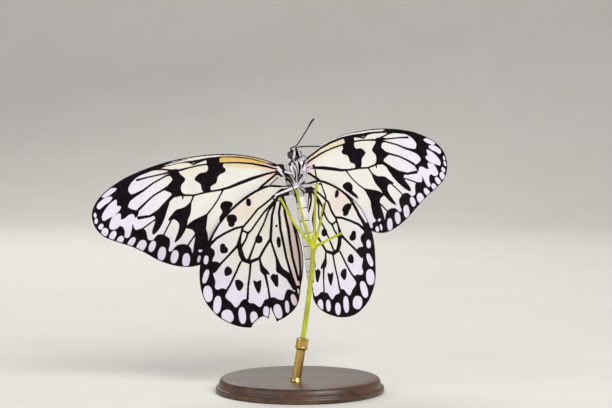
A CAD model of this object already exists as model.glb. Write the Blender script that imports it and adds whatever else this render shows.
"""A paper kite butterfly, life size, gripping a cut green stalk on a plain display stand.

Sizes are in millimetres and degrees until a mesh is made. The butterfly is drawn in its own frame,
with x to its left side, y towards its back and z towards its head. The stalk and the stand are drawn
straight in the world.
"""
import math

import bpy
import numpy as np
from mathutils import Matrix, Vector
from mathutils.geometry import delaunay_2d_cdt


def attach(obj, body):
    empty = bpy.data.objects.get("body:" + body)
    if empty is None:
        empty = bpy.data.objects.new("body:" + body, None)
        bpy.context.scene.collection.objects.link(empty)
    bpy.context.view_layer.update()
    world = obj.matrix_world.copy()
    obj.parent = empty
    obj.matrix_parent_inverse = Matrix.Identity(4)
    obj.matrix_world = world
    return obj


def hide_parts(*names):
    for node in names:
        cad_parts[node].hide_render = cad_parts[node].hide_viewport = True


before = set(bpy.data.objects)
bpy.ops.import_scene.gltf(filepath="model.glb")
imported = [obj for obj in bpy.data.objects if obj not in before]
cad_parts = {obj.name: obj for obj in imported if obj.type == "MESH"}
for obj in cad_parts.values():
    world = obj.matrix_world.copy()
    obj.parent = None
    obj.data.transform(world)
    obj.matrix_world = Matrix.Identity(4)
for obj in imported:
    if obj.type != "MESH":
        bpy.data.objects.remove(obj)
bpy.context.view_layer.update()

bl_info = {
    "name": "Paper kite butterfly",
    "version": (1, 0, 0),
    "blender": (4, 5, 0),
    "location": "3D View > Sidebar > Butterfly",
    "description": "Builds a life-size paper kite butterfly on a cut green stalk and a display stand",
    "category": "Add Mesh",
}

MM = 0.001
GAP = 0.3
SIDES = {1: "left", -1: "right"}
# Farther than anything on the butterfly
FAR = 1e3

# The photograph and the pose of the butterfly in it
PHOTO_MM_PER_PIXEL = 0.3547
PHOTO_FOOT_PIXEL = (300.0, 392.0)
PHOTO_MIDDLE_PIXEL = (306.0, 204.0)
CAMERA_TILT = 3.0
CAMERA_LENS = 100.0
CAMERA_SENSOR = 36.0
PHOTO_WIDTH = 612.0
THORAX_PIXEL = (294.5, 177.0)
YAW = 18.5
ROLL = 8.0
DIHEDRAL = 17.2

# Body sections as (height, half width, half depth, middle across, middle towards the back)
BODY_SECTIONS = (
    (-38.35, 0.12, 0.14, -0.2, -2.6), (-38.1, 0.5, 0.62, -0.2, -2.62),
    (-37.2, 0.98, 1.1, -0.18, -2.75), (-35.2, 1.36, 1.46, -0.13, -3.0),
    (-31.5, 1.58, 1.63, -0.02, -3.55), (-26.5, 1.69, 1.74, 0.12, -3.95),
    (-20.5, 1.8, 1.85, 0.19, -4.2), (-13.5, 1.8, 1.85, 0.12, -3.78), (-9.5, 1.66, 1.7, 0.06, -3.1),
    (-7.5, 1.42, 1.45, 0.02, -2.72), (-6.3, 1.55, 1.6, 0.0, -2.6), (-5.4, 2.2, 2.4, 0.0, -2.1),
    (-4.0, 2.75, 3.1, 0.0, -1.3), (-2.0, 3.1, 3.6, 0.0, -0.5), (0.0, 3.2, 3.8, 0.0, 0.0),
    (2.0, 3.1, 3.7, 0.0, -0.1), (3.8, 2.6, 3.1, 0.0, -0.7), (5.0, 1.9, 2.2, 0.0, -1.4),
    (5.7, 1.15, 1.35, 0.05, -1.85), (6.15, 1.0, 1.05, 0.15, -2.2), (6.6, 1.25, 1.22, 0.25, -2.5),
    (7.2, 1.36, 1.55, 0.3, -2.6), (7.75, 1.38, 1.65, 0.3, -2.6), (8.4, 1.36, 1.53, 0.3, -2.6),
    (8.95, 1.2, 1.2, 0.3, -2.6), (9.3, 0.8, 0.77, 0.3, -2.6), (9.48, 0.25, 0.22, 0.3, -2.6),
)
ABDOMEN_TOP = -6.8
ABDOMEN_RINGS = 7
RING_DEPTH = 0.1
SEAM_WIDTH = 0.07
SEGMENT_SWELL = 0.05
BODY_STEP = 0.16
BODY_SMOOTHING = 6
BODY_SIDES = 72
NECK_HEIGHT = 5.6
HEAD_HEIGHT = 6.4
# Shares of the way round from the middle of the underside between which the body's underside ends
FLANK = (0.5, 0.62)
HEAD_CENTRE = Vector((0.3, -2.6, 7.75))
HEAD_RADII = (1.75, 1.65, 1.75)
HEAD_FLAT = 1.35
EYE_RADII = (1.2, 1.3, 1.5)
EYE_SHIFT = 0.1
EYE_RISE = 0.1
# How much of the eye, from its middle outwards, the coat of hair keeps clear of
EYE_CLEAR = 0.96

# Wings: the plan is read with x outwards from the wing's root and y towards the head
MIDLINE_D = 0.3
FOREWING_ROOT = (4.5, 3.0)
HINDWING_ROOT = (2.85, -2.9)
# Degrees that each wing is turned in its plane from its drawing, by kind and side (1 is the left)
WING_SET = {("forewing", 1): 6.0, ("forewing", -1): 3.0, ("hindwing", 1): -2.5, ("hindwing", -1): 3.0}
MIDLINE_CLEAR = 0.55
HINDWING_LIFT = -1.4
WING_CAMBER = 2.2
WING_LENGTH = 70.0
CURL_SLOPE = 0.19
CURL_HEIGHTS = (-8.0, -38.0)
# Rows of even triangles stand this share of a triangle's side apart
TRIANGLE_ROW = 0.866
CUT_TOLERANCE = 1e-4
EDGE_THICKNESS = 0.35
EDGE_ROUNDING = 0.3
# Millimetres of wing that the whole width of the unwrap takes, and the free margin at its sides
WING_UNWRAP = 150.0
UNWRAP_MARGIN = 0.01

FOREWING_OUTLINE = (
    (1.0, 2.3), (5.0, 4.2), (10.0, 5.9), (15.0, 7.0), (20.0, 7.6), (25.0, 7.8), (30.0, 7.6),
    (35.0, 7.2), (40.0, 6.5), (45.0, 5.4), (50.0, 4.0), (55.0, 2.2), (60.0, -0.4), (64.2, -3.4),
    (67.0, -6.8), (68.1, -10.4), (67.2, -14.6), (64.4, -18.0), (60.0, -20.3), (55.5, -22.2),
    (51.0, -24.8), (46.0, -28.2), (41.0, -30.4), (36.0, -31.4), (31.5, -31.0), (26.5, -29.0),
    (21.0, -25.0), (15.0, -18.6), (9.0, -11.4), (4.5, -5.6), (1.0, -2.4),
)
HINDWING_OUTLINE = (
    (1.6, 0.3), (5.0, 0.9), (8.5, 0.7), (12.0, -0.7), (15.0, -2.2), (17.7, -4.0), (20.0, -5.7),
    (22.4, -7.8), (25.0, -10.4), (27.2, -13.3), (29.2, -16.2), (31.1, -19.3), (32.6, -22.6),
    (33.7, -26.5), (34.1, -30.5), (33.9, -34.5), (33.0, -38.0), (31.2, -41.2), (28.5, -44.4),
    (25.0, -46.8), (21.0, -48.5), (16.5, -49.1), (12.0, -48.7), (8.0, -47.6), (4.5, -46.1),
    (1.6, -44.0), (-0.3, -41.4), (-1.1, -38.4), (-1.7, -35.5), (-2.7, -31.5), (-3.3, -27.0),
    (-3.2, -22.0), (-2.4, -17.0), (-1.0, -12.0), (0.6, -7.4), (1.6, -3.4),
)
# The worn bite out of the lower edge of the hindwing on the animal's right
HINDWING_BITE = (
    (17.9, -50.4), (16.4, -47.9), (14.6, -46.3), (12.9, -45.4), (11.6, -45.7), (11.0, -46.4),
    (10.4, -45.4), (9.7, -42.4), (9.0, -44.4), (8.2, -46.6), (7.6, -50.4),
)

# The kinds of wing as (outline, root, lift from the plane that the wings share)
WINGS = {
    "forewing": (FOREWING_OUTLINE, FOREWING_ROOT, 0.0),
    "hindwing": (HINDWING_OUTLINE, HINDWING_ROOT, HINDWING_LIFT),
}

# Dark veins of each wing as (x, y, half width), from the root outwards
FOREWING_VEINS = (
    ((0.4, 1.2, 0.3), (5.0, 3.6, 0.5), (10.0, 5.4, 0.5), (15.0, 6.35, 0.42), (20.0, 6.75, 0.3),
     (25.0, 6.7, 0.3), (30.0, 6.15, 0.5), (35.0, 6.1, 0.42), (40.0, 5.5, 0.5), (45.0, 4.6, 0.6),
     (50.0, 3.3, 0.75), (55.0, 1.2, 1.0)),
    ((1.4, 0.6, 0.25), (5.0, 1.9, 0.3), (10.0, 3.3, 0.26), (15.0, 4.1, 0.2), (20.0, 4.4, 0.2),
     (25.0, 4.5, 0.2), (28.8, 4.3, 0.2), (32.6, 3.7, 0.2), (35.9, 3.1, 0.3), (38.5, 3.4, 0.24),
     (42.2, 4.1, 0.2), (45.5, 4.3, 0.3)),
    ((36.8, 3.2, 0.4), (42.2, 2.3, 0.18), (47.0, 1.7, 0.18), (51.0, 1.0, 0.3)),
    ((36.8, 2.4, 0.5), (40.6, 1.6, 0.2), (45.5, -0.6, 0.2), (49.0, -2.8, 0.3), (52.0, -4.2, 0.5),
     (54.6, -5.2, 1.0)),
    ((38.0, -0.6, 0.6), (40.2, -2.3, 0.32), (45.5, -4.9, 0.22), (48.2, -6.9, 0.26),
     (51.2, -9.4, 0.4)),
    ((37.6, -4.8, 0.6), (41.0, -7.6, 0.5), (44.2, -10.6, 0.55), (47.4, -12.1, 0.35),
     (51.5, -12.4, 0.5)),
    ((0.8, -0.2, 0.25), (5.0, -0.8, 0.3), (10.0, -1.9, 0.5), (15.0, -3.3, 0.5), (18.8, -4.5, 0.38),
     (22.0, -5.0, 0.27), (27.0, -5.4, 0.24), (31.3, -6.1, 0.24), (34.5, -5.8, 0.3),
     (37.6, -5.0, 0.5)),
    ((20.7, -4.9, 0.2), (23.0, -8.4, 0.18), (25.2, -11.2, 0.18), (27.4, -13.4, 0.25),
     (28.9, -20.0, 0.4)),
    ((31.3, -6.1, 0.2), (33.0, -9.2, 0.22), (34.6, -12.0, 0.3)),
    ((35.4, -5.2, 0.28), (35.3, -7.0, 0.14)),
    ((32.0, -19.9, 0.2), (34.9, -23.4, 0.22)),
    ((39.6, -13.4, 0.2), (43.4, -19.4, 0.16)),
    ((45.6, -13.4, 0.15), (51.0, -16.6, 0.2)),
    ((26.0, 6.2, 0.2), (30.6, 4.9, 0.2), (32.9, 6.3, 0.3)),
    ((1.4, -1.0, 0.3), (7.0, -4.9, 0.3), (13.0, -10.4, 0.25), (18.0, -16.4, 0.25),
     (22.5, -22.6, 0.3), (26.4, -29.4, 0.6)),
)
HINDWING_VEINS = (
    ((1.6, 0.1, 0.3), (6.3, 0.8, 0.35), (9.0, 0.15, 0.35), (12.2, -1.2, 0.32), (14.9, -2.6, 0.32),
     (17.6, -4.4, 0.32), (20.4, -6.4, 0.32), (23.1, -8.8, 0.32), (25.4, -11.2, 0.32),
     (27.6, -14.2, 0.4), (29.9, -17.8, 0.6)),
    ((2.2, -0.9, 0.25), (7.0, -4.5, 0.2), (11.3, -7.3, 0.2), (14.0, -10.2, 0.2),
     (16.7, -12.8, 0.24), (19.5, -13.2, 0.27), (23.1, -14.5, 0.27), (26.7, -16.2, 0.3),
     (29.5, -18.6, 0.4)),
    ((3.6, -3.4, 0.2), (9.0, -8.4, 0.18), (11.7, -11.5, 0.18), (14.0, -14.3, 0.18),
     (15.4, -15.4, 0.25), (16.3, -17.5, 0.18), (18.1, -19.9, 0.3)),
    ((15.4, -15.2, 0.22), (17.0, -14.4, 0.22)),
    ((17.0, -13.1, 0.22), (18.1, -16.1, 0.25), (18.9, -18.8, 0.6), (18.5, -22.5, 0.8),
     (17.8, -24.6, 0.7), (15.8, -25.7, 0.5), (12.2, -24.6, 0.35), (9.9, -21.1, 0.28),
     (7.6, -18.1, 0.34), (7.0, -14.3, 0.34), (6.3, -9.7, 0.28), (4.6, -5.0, 0.22),
     (2.4, -1.8, 0.22)),
    ((19.2, -19.3, 0.4), (22.2, -22.0, 0.24), (25.8, -25.2, 0.24), (28.5, -27.9, 0.4)),
    ((3.0, -2.6, 0.18), (7.6, -8.4, 0.17), (9.5, -12.5, 0.17), (11.7, -16.1, 0.2),
     (13.5, -19.7, 0.17), (15.8, -24.5, 0.3)),
    ((7.6, -18.1, 0.25), (7.0, -21.1, 0.22), (6.0, -25.2, 0.3), (5.5, -28.4, 0.75),
     (4.0, -30.7, 0.85), (2.6, -32.4, 0.5), (0.8, -36.5, 0.3)),
    ((12.0, -25.2, 0.25), (11.7, -27.4, 0.4), (11.2, -28.9, 0.85), (10.5, -30.8, 0.35),
     (9.9, -35.6, 0.18), (9.7, -39.3, 0.25)),
    ((15.4, -26.1, 0.24), (16.0, -29.7, 0.24), (17.0, -34.3, 0.22), (17.6, -38.8, 0.3)),
    ((18.9, -25.4, 0.24), (21.3, -29.7, 0.22), (23.5, -33.4, 0.22), (25.4, -36.0, 0.3)),
    ((2.2, -2.6, 0.25), (3.8, -9.0, 0.3), (3.8, -15.0, 0.32), (3.3, -18.8, 0.3), (2.6, -25.2, 0.27),
     (1.3, -31.5, 0.3), (0.1, -36.5, 0.4)),
    ((1.6, -3.2, 0.25), (1.8, -9.0, 0.3), (1.0, -15.2, 0.36), (0.8, -19.7, 0.33), (0.4, -25.2, 0.3),
     (-1.0, -33.4, 0.3)),
    ((1.2, -5.0, 0.2), (-0.6, -12.0, 0.28), (-1.5, -17.5, 0.28), (-2.1, -24.3, 0.25),
     (-2.0, -29.7, 0.25), (-1.6, -34.7, 0.25)),
)
# Dark bars and wedges of the forewing, as loops
FOREWING_BARS = (
    ((21.3, 6.6), (25.5, 6.6), (25.8, 4.9), (25.5, 3.0), (26.3, 1.8), (28.8, 1.4), (30.7, -0.5),
     (29.7, -1.5), (28.6, -2.6), (28.4, -4.5), (27.2, -5.4), (25.3, -5.2), (25.1, -3.6),
     (23.0, -2.4), (22.4, -0.5), (21.3, 0.5), (19.7, 1.1), (19.3, 2.2), (20.1, 3.0), (20.1, 4.3),
     (21.3, 4.9)),
    ((36.7, 3.7), (39.3, 2.3), (38.7, 0.75), (38.4, -0.5), (39.7, -2.2), (41.5, -3.4), (39.4, -4.6),
     (38.4, -6.2), (35.6, -5.6), (35.7, -3.4), (35.3, -2.0), (34.2, -0.9), (33.9, 0.1), (35.1, 1.4),
     (36.1, 2.6)),
    ((40.3, -7.6), (44.4, -10.6), (46.4, -11.6), (45.6, -13.4), (47.2, -17.4), (47.0, -18.8),
     (45.4, -17.8), (43.9, -16.0), (42.6, -13.8), (41.4, -11.0)),
    ((32.6, -8.6), (35.1, -10.0), (38.0, -10.7), (39.7, -12.2), (41.3, -14.2), (39.2, -14.0),
     (37.7, -15.2), (37.5, -16.5), (38.2, -18.8), (39.8, -22.2), (38.0, -21.3), (36.5, -19.7),
     (34.9, -17.2), (34.2, -14.7), (33.0, -12.2)),
    ((27.2, -13.2), (30.0, -14.0), (33.4, -15.5), (34.9, -17.4), (33.0, -18.3), (32.1, -19.9),
     (32.3, -21.3), (32.9, -23.4), (33.6, -27.4), (31.3, -27.2), (29.3, -25.9), (28.0, -23.8),
     (27.7, -20.1), (28.4, -17.4), (27.9, -15.2)),
    ((18.2, -9.7), (20.4, -9.1), (22.0, -9.8), (22.4, -11.3), (21.8, -12.8), (23.0, -14.7),
     (23.0, -16.2), (21.6, -15.1), (19.7, -13.0), (18.0, -10.9)),
    ((51.4, 3.6), (51.6, 1.6), (53.0, 0.3), (54.4, -2.0), (53.6, -3.8), (52.6, -4.6), (54.0, -6.2),
     (54.9, -8.2), (53.2, -9.3), (51.4, -9.8), (51.7, -11.4), (52.9, -12.6), (53.7, -14.4),
     (53.0, -16.5), (51.1, -16.2), (49.6, -16.8), (49.2, -18.4), (48.9, -20.4), (47.2, -20.6),
     (45.9, -19.2), (44.2, -18.8), (42.4, -19.7), (41.3, -20.9), (41.5, -23.0), (42.2, -24.9),
     (41.3, -25.3), (39.7, -23.8), (38.6, -23.2), (36.7, -23.0), (35.1, -23.6), (34.1, -24.9),
     (33.6, -26.9), (31.3, -27.1), (29.3, -26.0), (26.0, -27.6), (28.0, -32.0), (36.0, -34.0),
     (44.0, -31.5), (52.0, -26.5), (61.0, -22.5), (68.0, -17.5), (71.0, -10.0), (66.0, -2.0),
     (58.0, 3.0)),
)
# Pale windows in the forewing's dark tip, as loops, and the pale spots along its edge as (x, y, across,
# along, turn)
FOREWING_WINDOWS = (
    ((58.4, -1.4), (60.2, -1.1), (62.2, -2.0), (64.0, -3.8), (63.0, -4.1), (60.6, -3.2)),
    ((60.2, -4.2), (62.2, -4.1), (64.4, -5.2), (66.1, -7.0), (65.3, -8.2), (63.0, -6.7),
     (61.2, -5.7)),
    ((58.9, -5.3), (60.8, -6.2), (63.0, -8.2), (64.6, -10.9), (64.0, -12.4), (62.1, -11.6),
     (60.2, -10.8), (58.5, -9.6), (57.4, -7.8), (58.8, -7.4)),
    ((57.8, -10.4), (59.6, -10.7), (61.2, -11.8), (62.2, -14.3), (61.8, -15.6), (59.6, -15.5),
     (58.4, -13.9)),
    ((53.4, -10.9), (55.0, -11.1), (56.6, -12.2), (58.8, -12.9), (59.4, -14.5), (57.6, -14.9),
     (56.9, -16.6), (57.1, -18.9), (55.6, -18.9), (54.5, -16.6), (53.8, -14.1), (52.9, -12.5)),
)
FOREWING_SPOTS = (
    (36.3, -28.9, 1.35, 2.5, 12.0), (40.3, -27.3, 1.3, 2.4, 20.0), (44.7, -25.8, 1.4, 2.5, 18.0),
    (47.8, -22.9, 1.1, 2.1, 28.0), (51.6, -22.4, 1.5, 2.3, 38.0), (55.0, -20.8, 1.0, 2.1, 42.0),
    (58.9, -19.7, 1.05, 1.7, 40.0), (61.3, -17.8, 1.05, 1.8, 35.0), (64.0, -16.4, 1.2, 1.5, 20.0),
    (65.2, -14.3, 0.8, 1.1, 40.0), (66.7, -12.2, 0.6, 1.0, 10.0), (66.9, -10.1, 0.5, 0.9, 0.0),
    (29.7, -29.2, 0.8, 1.2, 25.0), (31.7, -28.9, 0.55, 1.3, 20.0), (30.9, -26.0, 0.75, 0.5, 0.0),
    (26.4, -27.0, 0.7, 1.3, 40.0),
)
# The hindwing's dark spots as ovals and as loops, the loop of its dark border, and the pale spots in
# that border
HINDWING_DOTS = (
    (14.2, -4.5, 0.9, 1.4, 0.0), (20.6, -9.8, 1.85, 1.6, 0.0), (20.9, -11.5, 1.15, 1.2, 0.0),
    (11.7, -17.9, 1.3, 1.4, 0.0), (4.8, -19.5, 0.75, 2.0, 0.0), (5.1, -13.7, 0.4, 0.5, 0.0),
    (24.4, -20.6, 1.45, 1.25, 0.0), (24.7, -19.4, 1.0, 1.2, 0.0), (29.3, -21.2, 1.6, 1.7, 0.0),
    (27.9, -25.4, 1.1, 1.0, 0.0),
)
HINDWING_SHIELDS = (
    ((5.9, -25.8), (6.4, -27.4), (6.6, -29.7), (5.9, -30.4), (4.7, -31.3), (3.3, -31.8),
     (2.0, -33.2), (0.8, -35.2), (0.7, -33.3), (1.4, -31.7), (2.6, -30.1), (4.1, -29.0),
     (5.2, -26.9)),
    ((11.8, -25.6), (11.4, -26.9), (10.5, -28.2), (9.4, -29.4), (8.9, -30.9), (10.1, -30.3),
     (10.7, -30.8), (11.9, -29.6), (12.2, -28.2), (12.1, -26.4)),
    ((6.15, -30.6), (6.8, -31.0), (7.4, -30.5), (8.0, -30.6), (8.8, -31.4), (8.8, -32.1),
     (8.0, -33.7), (7.2, -35.2), (6.6, -35.4), (6.2, -34.5), (6.05, -32.5)),
    ((12.2, -32.3), (13.0, -32.5), (13.8, -32.9), (14.5, -32.3), (15.0, -32.3), (14.9, -33.9),
     (14.2, -36.0), (13.5, -37.2), (12.8, -36.2), (12.3, -34.3)),
    ((20.0, -31.65), (21.4, -31.7), (21.5, -33.3), (21.0, -35.2), (20.2, -35.7), (19.3, -35.0),
     (18.6, -33.9), (18.6, -33.1), (19.3, -32.1)),
    ((23.8, -26.4), (24.4, -26.9), (25.0, -27.9), (24.9, -29.8), (23.7, -29.9), (22.4, -29.2),
     (22.2, -28.1), (22.7, -27.1)),
)
HINDWING_BORDER = (
    (29.2, -16.4), (28.9, -19.6), (28.2, -22.3), (28.9, -24.2), (27.2, -24.6), (26.2, -25.4),
    (27.8, -26.6), (29.0, -28.8), (28.5, -31.5), (28.9, -33.8), (27.9, -34.6), (26.5, -34.2),
    (24.9, -34.9), (25.4, -37.5), (23.5, -39.6), (22.2, -41.4), (20.8, -40.6), (19.9, -39.3),
    (18.8, -38.7), (17.6, -39.0), (17.1, -40.2), (15.4, -40.5), (13.5, -42.0), (12.2, -40.6),
    (11.5, -39.5), (9.9, -39.2), (8.3, -38.8), (6.7, -39.7), (4.9, -40.0), (4.2, -38.1),
    (3.2, -36.5), (1.7, -36.8), (0.6, -37.6), (0.0, -35.6), (-1.2, -35.4), (-3.0, -36.0),
    (-2.0, -45.0), (4.0, -50.0), (14.0, -52.0), (24.0, -51.0), (33.0, -46.0), (38.0, -36.0),
    (37.0, -24.0), (31.5, -16.0),
)
HINDWING_SPOTS = (
    (31.1, -23.6, 0.85, 1.6, 12.0), (31.8, -29.5, 0.95, 2.6, 22.0), (31.6, -35.8, 1.65, 2.9, 0.0),
    (28.6, -40.0, 1.4, 3.2, 12.0), (25.3, -44.4, 2.1, 2.4, -15.0), (20.0, -44.5, 1.3, 3.0, 0.0),
    (15.9, -45.6, 1.35, 2.2, 0.0), (11.3, -44.0, 1.15, 2.1, 0.0), (7.2, -44.0, 1.45, 2.6, -8.0),
    (3.8, -42.6, 0.75, 2.2, 0.0), (1.2, -40.4, 0.95, 2.1, -12.0), (-0.7, -37.6, 0.35, 1.2, -10.0),
)
COSTA_STRIP = (
    (2.6, 3.2, 0.25), (5.5, 4.25, 0.28), (8.0, 5.15, 0.26), (10.0, 5.85, 0.24), (14.7, 6.9, 0.2),
    (20.5, 7.35, 0.17), (25.0, 7.4, 0.22), (29.7, 6.95, 0.24), (33.0, 6.75, 0.2),
    (38.0, 6.15, 0.22), (41.0, 5.6, 0.1),
)
# How much wider than drawn the dark veins are
VEIN_EXTRA = {"forewing": 0.1, "hindwing": 0.16}
RIDGE_WIDTH = 0.24
DARK_RIM = 0.34
# How widely the dark markings run into each other
VEIN_MELT = 0.25
BAR_MELT = 0.35
DOT_MELT = 0.3
LOOP_STEP = 0.6
OVAL_POWER = 2.3
# How far down the forewing's pale strip sits from its drawing, and how strong the yellow is, by side
COSTA_INSET = {1: 0.0, -1: 0.42}
YELLOW_SHARE = {1: 0.4, -1: 0.9}
# The yellow streak by the forewing's front edge and the weaker glow below it, as (x, y, half width)
YELLOW_STREAK = ((3.5, 2.4, 0.5), (8.0, 4.1, 0.9), (13.0, 5.2, 1.0), (18.0, 5.7, 1.1), (22.0, 5.8, 0.9))
YELLOW_GLOW = ((5.0, 1.2, 0.3), (9.0, 2.3, 0.9), (14.0, 3.2, 1.0), (19.0, 3.4, 0.6))
# Patches of tint as (strength, slopes), where a slope is (way, low, high) and rises from low to high that way
TINTS = {
    "forewing": {
        "yellow": ((0.16, (("y", -1.0, 2.0), ("x", 22.0, 26.0), ("-x", -52.0, -40.0))),),
        "blush": ((0.7, (("-x", -9.0, -2.0), ("y", -6.0, -1.0))),),
        "cool": ((1.0, (("x", 30.0, 58.0),)), (1.0, (("-y", 18.0, 27.0),))),
    },
    "hindwing": {
        "yellow": ((0.1, (("y", -20.0, -6.0), ("x", 3.0, 8.0), ("-x", -20.0, -12.0))),),
        "blush": ((0.55, (("-x", -3.0, -0.5),)), (0.3, (("x", 10.0, 14.0), ("y", -13.0, -8.0)))),
        "cool": ((1.0, (("x", 18.0, 32.0),)), (1.0, (("-y", 24.0, 40.0),))),
    },
}
# How far the left wings' markings sit from those of the right wings, as the photograph shows them: the
# forewing's as (size, height, spread, near, far), the hindwing's as (size, reach, power, high, low)
FOREWING_LEAN = (2.7, -9.0, 11.0, 36.0, 52.0)
HINDWING_LEAN = (4.6, 34.0, 2.5, -3.0, -14.0)

# The cut stalk and the side stems on it, as (picture x, picture y, depth in millimetres)
STALK_RADIUS = (0.78, 0.9)
STALK_PATH = ((313.4, 247.0, -9.4), (311.6, 270.0, -9.4), (308.6, 297.0, -9.4), (305.2, 322.0, -9.4),
              (303.0, 336.0, -9.4))
KNOT_RADIUS = 1.25
KNOT_LUMPS = (9.0, 0.06)
STEMLET_RADIUS = 0.5
STEMLETS = {
    "hind_right": ((295.5, 224.5, -10.4), (280.5, 198.0, -10.8)),
    "mid_right": ((304.0, 222.0, -11.2), (296.5, 190.0, -12.2)),
    "hind_left": ((318.5, 229.0, -10.6), (324.0, 203.0, -10.4)),
    "mid_left": ((314.5, 220.0, -11.4), (315.6, 184.0, -12.0)),
    "spare": ((328.5, 239.0, -9.4), (341.5, 232.5, -9.2)),
}
# Legs as (side stem held, side, angle round the thorax from the underside, height, knee, ankle)
LEGS = {
    "midleg_left": ("mid_left", 1, 0.62, 1.2, (314.0, 165.6, -8.6), (316.6, 180.5, -11.6)),
    "midleg_right": ("mid_right", -1, 0.62, 1.2, (283.0, 172.0, -10.6), (292.6, 186.0, -12.6)),
    "hindleg_left": ("hind_left", 1, 0.55, -3.8, (321.0, 184.0, -8.4), (325.6, 197.6, -10.6)),
    "hindleg_right": ("hind_right", -1, 0.55, -3.8, (272.6, 196.8, -10.2), (275.6, 201.4, -11.4)),
}
FORELEG_ANGLES = {1: -0.2, -1: 0.6}
FORELEG_HEIGHT = 3.4
# How far a foot's middle lies from the skin of the side stem, and where along the stem it bends and ends
TOE_RADIUS = 0.22
TOE_PLACES = (1.0, 4.4)
TOE_JOINT = 0.95
LIMB_STEP = 0.14
# The antennae and the proboscis as (picture x, picture y, depth in millimetres)
ANTENNAE = {
    -1: ((297.0, 144.7, 1.6), (305.3, 131.4, 7.4), (311.4, 120.4, 12.2), (314.2, 117.0, 14.6)),
    1: ((302.4, 146.4, 3.2), (311.4, 145.5, 8.6), (323.7, 145.2, 15.4), (334.0, 144.4, 20.6),
        (340.0, 143.6, 23.0)),
}
PROBOSCIS = ((303.8, 156.4, -9.6), (305.8, 160.0, -10.4), (306.2, 168.0, -11.0), (306.3, 178.0, -11.2))

# Half widths along each limb, evenly spread from its root to its tip
PALP_SIZES = (0.3, 0.48, 0.52, 0.52, 0.5, 0.47, 0.43, 0.34, 0.26, 0.16, 0.06)
PALP_FLATNESS = 0.85
THIGH_SIZES = (0.5, 0.44, 0.42, 0.38, 0.34)
SHIN_SIZES = (0.27, 0.24, 0.26, 0.28)
FOOT_SIZE = 0.2
CLAW_SIZES = (0.08, 0.07, 0.02)
FORELEG_SIZES = (0.36, 0.4, 0.36, 0.3, 0.24, 0.2)
PROBOSCIS_SIZES = (0.34, 0.3, 0.26, 0.24, 0.22, 0.2, 0.17)
PROBOSCIS_SIDES = 18
STEMLET_SIZES = (0.62, 0.52, 0.48, 0.45, 0.43, 0.42, 0.43)
STEMLET_SIDES = 20
# Half widths of an antenna at shares of its length: the socket, the thin shaft and the club
ANTENNA_SHARES = (0.0, 0.02, 0.035, 0.05, 0.7, 0.86, 0.95, 1.0)
ANTENNA_SIZES = (0.34, 0.4, 0.3, 0.26, 0.24, 0.37, 0.4, 0.22)
# Angles at which a limb's rounded end gets a ring
END_ANGLES = (0.5, 0.95, 1.3, 1.5)

# Dark stripes that fan out under the thorax, as (x, z, half width), mirrored about a line through the fan's
# middle (x, z)
FAN_CENTRE = (-1.1, -2.2)
# Heights between which that line comes over from the body's middle
FAN_SWING = (-6.5, -2.0)
FAN_STRIPES = (
    ((-0.9, 6.2, 0.3), (-1.8, 4.8, 0.3), (-1.9, 3.4, 0.28), (-1.8, 2.0, 0.22), (-1.5, 0.5, 0.22),
     (-1.2, -0.4, 0.25), (-1.1, -1.8, 0.12)),
    ((-6.4, 6.1, 0.35), (-5.2, 5.7, 0.55), (-4.0, 5.0, 1.0), (-3.6, 3.6, 0.6), (-3.2, 2.4, 0.4),
     (-3.0, 1.4, 0.35), (-2.6, 0.5, 0.3), (-2.2, -0.5, 0.2), (-1.7, -1.6, 0.1)),
    ((-7.4, 5.5, 0.4), (-6.4, 3.8, 0.4), (-5.7, 2.8, 0.45), (-5.0, 1.6, 0.45), (-4.0, 0.5, 0.4),
     (-3.0, -0.5, 0.4), (-2.2, -1.5, 0.25), (-1.8, -2.2, 0.1)),
    ((-5.2, -1.9, 0.4), (-4.0, -2.4, 0.4), (-2.9, -2.7, 0.35), (-2.1, -2.8, 0.15)),
    ((-4.6, -4.7, 0.45), (-3.2, -4.1, 0.4), (-2.4, -3.6, 0.3), (-1.8, -3.2, 0.1)),
    ((-2.6, -6.4, 0.45), (-2.2, -5.4, 0.4), (-1.7, -4.4, 0.3), (-1.4, -3.6, 0.1)),
)
# The swelling at a wing's root as (how far in, share of the root's height, half thickness)
BASE_STEPS = ((3.4, 0.7, 0.6), (2.6, 0.85, 0.74), (1.8, 0.95, 0.68), (0.9, 1.0, 0.55), (0.0, 1.0, 0.44),
              (-0.9, 0.98, 0.34), (-1.6, 0.95, 0.22), (-2.1, 0.92, 0.06), (-2.3, 0.9, 0.01))
# Along that swelling, where the thorax's stripes start to give way to the wing's veins and where they have
BASE_TURNS = {"forewing": (0.35, 0.75), "hindwing": (0.0, 0.35)}
BASE_ROWS = 24
BASE_SIDES = 32
# Where the swelling points to on the wing, and how near to the wing's edge its markings are read
BASE_AIM = 4.0
BASE_READ = -0.8
# How much thinner the dark veins are on that swelling than at the wing's edge
BASE_THINNER = {"forewing": 0.05, "hindwing": 0.12}
HAIR_LENGTH = 0.0008
HAIR_POINTS = 7
HAIR_SWING = 0.22
HAIR_DEPTH = 0.06
# Half the size of a hair's patch in the unwrap
HAIR_PATCH = 0.0014
# Hair as (lowest, highest, count before thinning, length, half width, how far it stands up)
COAT_ZONES = ((-7.2, 5.9, 13000, 0.62, 0.06, 0.12), (5.5, 9.4, 3800, 0.4, 0.045, 0.16),
              (-38.0, -6.8, 5200, 0.4, 0.06, 0.03))

BASE_RADIUS = 30.0
BASE_HEIGHT = 5.0
BASE_STEP_HEIGHT = 2.3
BASE_STEP_INSET = 1.05
BASE_ROUNDING = 1.6
ROD_RADIUS = 1.6
ROD_CUP_RADIUS = 2.2
ROD_CUP_HEIGHT = 4.0

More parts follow.
